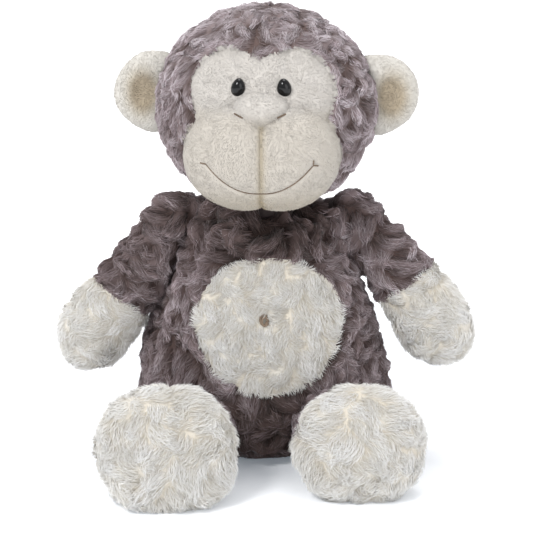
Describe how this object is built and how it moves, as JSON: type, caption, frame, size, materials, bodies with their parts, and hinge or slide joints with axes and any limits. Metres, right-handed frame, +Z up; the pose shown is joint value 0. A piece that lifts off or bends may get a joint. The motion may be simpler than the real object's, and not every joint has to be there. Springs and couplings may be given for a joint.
{
  "type": "seated plush monkey",
  "caption": "Seated plush monkey with a long-pile grey body and hood, cream face, ears, belly, hands and feet, and limbs that turn at the seams.",
  "frame": {"origin": "on the floor, under the middle of the toy's bounding box", "axes": "+Z up, the toy faces -Y, and its own left side is at +X"},
  "size_m": [0.2574, 0.2344, 0.28],
  "materials": {
    "grey_pile": "matte",
    "grey_backing": "matte",
    "cream_pile": "matte",
    "face_plush": "matte",
    "ear_plush": "matte",
    "thread": "matte",
    "seam_thread": "matte",
    "eye_plastic": "gloss",
    "washer_plastic": "satin",
    "fibre": "matte",
    "pellet_cloth": "matte",
    "label_cloth": "matte"
  },
  "bodies": {
    "torso": {"torso_front": "grey_pile", "torso_back_right": "grey_pile", "torso_back_left": "grey_pile", "seat_panel": "grey_backing", "belly_patch": "cream_pile", "belly_button": "thread", "pellet_bag": "pellet_cloth", "torso_stuffing": "fibre", "back_seam_stitches": "seam_thread", "blank_label": "label_cloth"},
    "neck": {"neck_gusset": "grey_backing"},
    "head": {"hood_right": "grey_pile", "hood_left": "grey_pile", "hood_back": "grey_pile", "face_panel": "face_plush", "muzzle_right": "face_plush", "muzzle_left": "face_plush", "nose_gusset": "face_plush", "mouth_stitch": "thread", "nostril_stitch_right": "thread", "nostril_stitch_left": "thread", "eye_right": "eye_plastic", "eye_left": "eye_plastic", "eye_washer_right": "washer_plastic", "eye_washer_left": "washer_plastic", "head_stuffing": "fibre", "muzzle_stuffing": "fibre"},
    "ear_right": {"ear_front_right": "ear_plush", "ear_back_right": "face_plush"},
    "shoulder_right": {"shoulder_gusset_right": "grey_backing"},
    "arm_right": {"sleeve_right": "grey_pile", "hand_right": "cream_pile", "arm_stuffing_right": "fibre"},
    "hip_right": {"hip_gusset_right": "grey_backing"},
    "leg_right": {"leg_right": "grey_pile", "foot_upper_right": "cream_pile", "foot_sole_right": "cream_pile", "leg_stuffing_right": "fibre"},
    "ear_left": {"ear_front_left": "ear_plush", "ear_back_left": "face_plush"},
    "shoulder_left": {"shoulder_gusset_left": "grey_backing"},
    "arm_left": {"sleeve_left": "grey_pile", "hand_left": "cream_pile", "arm_stuffing_left": "fibre"},
    "hip_left": {"hip_gusset_left": "grey_backing"},
    "leg_left": {"leg_left": "grey_pile", "foot_upper_left": "cream_pile", "foot_sole_left": "cream_pile", "leg_stuffing_left": "fibre"},
    "tail_root": {"tail_gusset": "grey_backing"},
    "tail": {"tail": "grey_pile", "tail_stuffing": "fibre"}
  },
  "joints": [
    {"name": "head_turn", "type": "hinge", "parent": "torso", "child": "neck", "pos_m": [0.00037, 0.01182, 0.16], "axis": [0, 0, 1], "range_deg": [-30, 30], "stiffness_Nm_per_rad": 3},
    {"name": "head_nod", "type": "hinge", "parent": "neck", "child": "head", "pos_m": [0.00037, 0.01182, 0.16], "axis": [1, 0, 0], "range_deg": [-15, 12], "stiffness_Nm_per_rad": 3},
    {"name": "ear_fold_right", "type": "hinge", "parent": "head", "child": "ear_right", "pos_m": [-0.06533, 0.01927, 0.226], "axis": [0, 0, 1], "range_deg": [-20, 20], "stiffness_Nm_per_rad": 0.02},
    {"name": "arm_swing_right", "type": "hinge", "parent": "torso", "child": "shoulder_right", "pos_m": [-0.05513, 0.01082, 0.148], "axis": [-1, 0, 0], "range_deg": [-60, 120], "stiffness_Nm_per_rad": 0.3},
    {"name": "arm_lift_right", "type": "hinge", "parent": "shoulder_right", "child": "arm_right", "pos_m": [-0.05513, 0.01082, 0.148], "axis": [0, 1, 0], "range_deg": [-5, 70], "stiffness_Nm_per_rad": 0.3},
    {"name": "leg_swing_right", "type": "hinge", "parent": "torso", "child": "hip_right", "pos_m": [-0.03913, -0.03618, 0.028], "axis": [1, 0, 0], "range_deg": [-15, 80], "stiffness_Nm_per_rad": 0.5},
    {"name": "leg_splay_right", "type": "hinge", "parent": "hip_right", "child": "leg_right", "pos_m": [-0.03913, -0.03618, 0.028], "axis": [0, 0, -1], "range_deg": [-8, 20], "stiffness_Nm_per_rad": 0.5},
    {"name": "ear_fold_left", "type": "hinge", "parent": "head", "child": "ear_left", "pos_m": [0.06649, 0.01236, 0.226], "axis": [0, 0, 1], "range_deg": [-20, 20], "stiffness_Nm_per_rad": 0.02},
    {"name": "arm_swing_left", "type": "hinge", "parent": "torso", "child": "shoulder_left", "pos_m": [0.05287, 0.01082, 0.148], "axis": [-1, 0, 0], "range_deg": [-60, 120], "stiffness_Nm_per_rad": 0.3},
    {"name": "arm_lift_left", "type": "hinge", "parent": "shoulder_left", "child": "arm_left", "pos_m": [0.05287, 0.01082, 0.148], "axis": [0, -1, 0], "range_deg": [-5, 70], "stiffness_Nm_per_rad": 0.3},
    {"name": "leg_swing_left", "type": "hinge", "parent": "torso", "child": "hip_left", "pos_m": [0.03687, -0.03618, 0.028], "axis": [1, 0, 0], "range_deg": [-15, 80], "stiffness_Nm_per_rad": 0.5},
    {"name": "leg_splay_left", "type": "hinge", "parent": "hip_left", "child": "leg_left", "pos_m": [0.03687, -0.03618, 0.028], "axis": [0, 0, 1], "range_deg": [-8, 20], "stiffness_Nm_per_rad": 0.5},
    {"name": "tail_swing", "type": "hinge", "parent": "torso", "child": "tail_root", "pos_m": [-0.00113, 0.06782, 0.015], "axis": [0, 0, 1], "range_deg": [-25, 25], "stiffness_Nm_per_rad": 0.03},
    {"name": "tail_lift", "type": "hinge", "parent": "tail_root", "child": "tail", "pos_m": [-0.00113, 0.06782, 0.015], "axis": [1, 0, 0], "range_deg": [0, 35], "stiffness_Nm_per_rad": 0.03}
  ]
}
